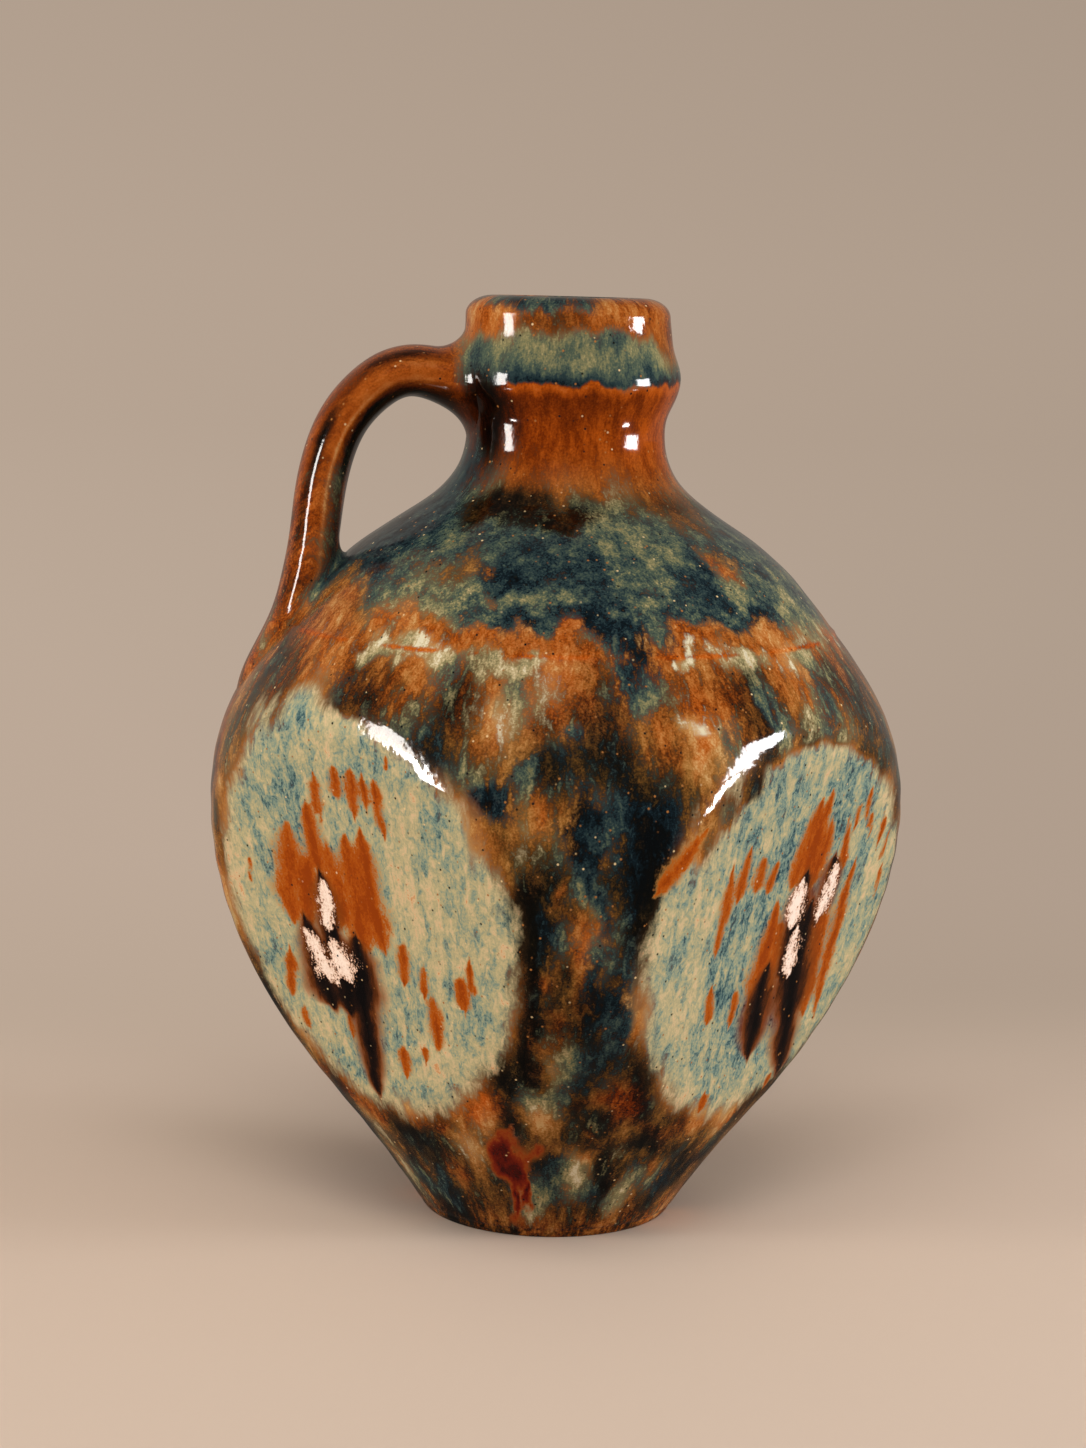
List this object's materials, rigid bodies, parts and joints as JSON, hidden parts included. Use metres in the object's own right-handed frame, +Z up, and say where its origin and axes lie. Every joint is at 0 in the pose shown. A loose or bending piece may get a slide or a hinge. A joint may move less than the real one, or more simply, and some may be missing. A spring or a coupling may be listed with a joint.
{
  "type": "handled jug vase",
  "caption": "Glazed stoneware jug vase: rounded belly with four pressed panels, short neck, thick ledged collar and one strap handle.",
  "frame": {"origin": "on the turning axis, at the underside of the foot ring", "axes": "+Z up along the turning axis; the handle stands to -X; the four panels face between the axes, at 45 degrees to X and Y"},
  "size_m": [0.18, 0.18, 0.239],
  "materials": {
    "foot_clay": "amber glaze edge over bare fired clay",
    "belly_glaze": "glossy mottled rust and brown glaze, pale celadon on the panels",
    "shoulder_glaze": "glossy mottled blue-black and olive glaze",
    "neck_glaze": "glossy amber brown glaze",
    "collar_glaze": "glossy sage green glaze under an amber lip",
    "handle_glaze": "glossy rust brown glaze"
  },
  "bodies": {
    "root": {"foot_ring": "foot_clay", "bowl": "belly_glaze", "shoulder": "shoulder_glaze", "neck": "neck_glaze", "collar": "collar_glaze", "handle_strap": "handle_glaze", "upper_roll": "handle_glaze", "lower_roll": "handle_glaze"}
  },
  "joints": []
}
